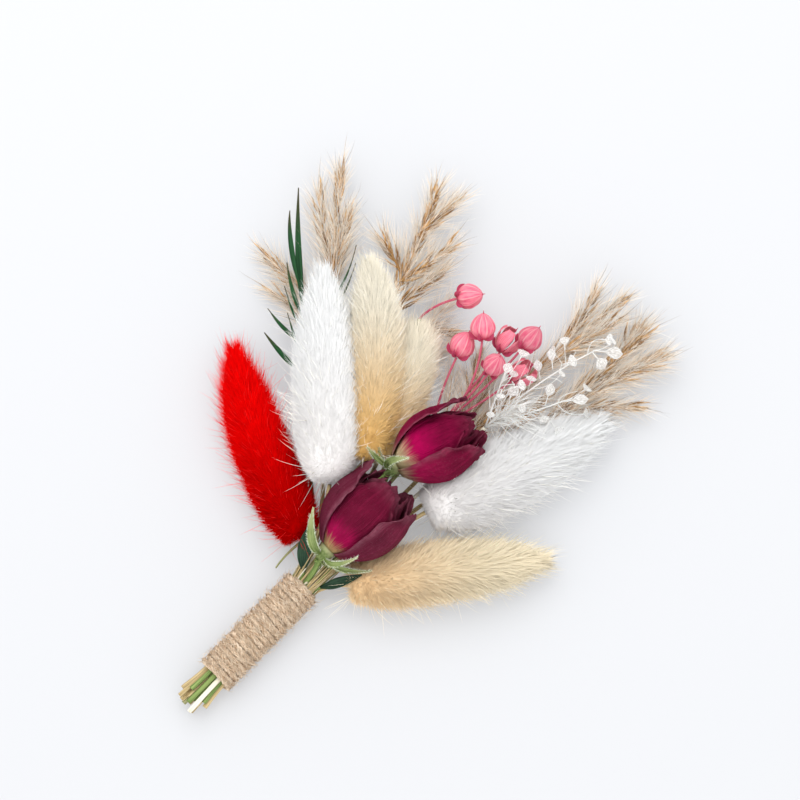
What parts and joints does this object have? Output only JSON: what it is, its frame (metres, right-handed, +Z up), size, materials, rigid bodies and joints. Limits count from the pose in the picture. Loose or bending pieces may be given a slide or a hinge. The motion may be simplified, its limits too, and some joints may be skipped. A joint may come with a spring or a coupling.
{
  "type": "dried flower boutonniere",
  "caption": "Dried-flower boutonniere lying on its back: twine-bound stems fan out into bunny-tail heads, reed plumes, rosebuds, pink seed pods and a white sprig.",
  "frame": {"origin": "on the resting plane, under the middle of the twine wrap", "axes": "+Y along the handle towards the blooms, +X to the right seen from above, +Z up"},
  "size_m": [0.1136, 0.1551, 0.0278],
  "materials": {
    "jute": "natural jute twine, loosely twisted, matt and fibrous",
    "straw_stem": "dry straw stem with fine lengthwise streaks, matt",
    "red_fur": "dyed vivid red seed hair, soft and silky",
    "white_fur": "bleached white seed hair, soft and silky",
    "cream_fur": "natural cream seed hair, golden at the root, soft and silky",
    "beige_fur": "natural golden-beige seed hair, soft and silky",
    "rose_petal": "dried rose petal, burgundy with dusty plum rims, matt and wrinkled",
    "rose_green": "dried green stem and sepals with pale downy edges, matt",
    "pink_flax": "dyed pink papery seed pods and thin stems, slight sheen",
    "bleached_spray": "bleached wiry sprig with papery leaflets, matt",
    "dark_leaf": "dried dark green leaf, matt",
    "grass_blade": "green grass blade with fine lengthwise veins, satin",
    "reed": "golden-brown reed spikelets with silky pale hairs"
  },
  "bodies": {
    "root": {"twine_wrap": "jute", "red_tail": "red_fur", "red_tail_stem": "straw_stem", "white_tail_left": "white_fur", "white_tail_left_stem": "straw_stem", "cream_tail_upper": "cream_fur", "cream_tail_upper_stem": "straw_stem", "cream_tail_lower": "cream_fur", "cream_tail_lower_stem": "straw_stem", "white_tail_right": "white_fur", "white_tail_right_stem": "straw_stem", "beige_tail": "beige_fur", "beige_tail_stem": "straw_stem", "rose_front_petals": "rose_petal", "rose_front_green": "rose_green", "rose_back_petals": "rose_petal", "rose_back_green": "rose_green", "flax_spray": "pink_flax", "flax_stalk_left": "pink_flax", "white_spray": "bleached_spray", "neck_leaf_left": "dark_leaf", "neck_leaf_right": "dark_leaf", "grass_leaves": "grass_blade", "plume_left": "reed", "plume_centre": "reed", "plume_right_upper": "reed", "plume_right_lower": "reed"}
  },
  "joints": []
}
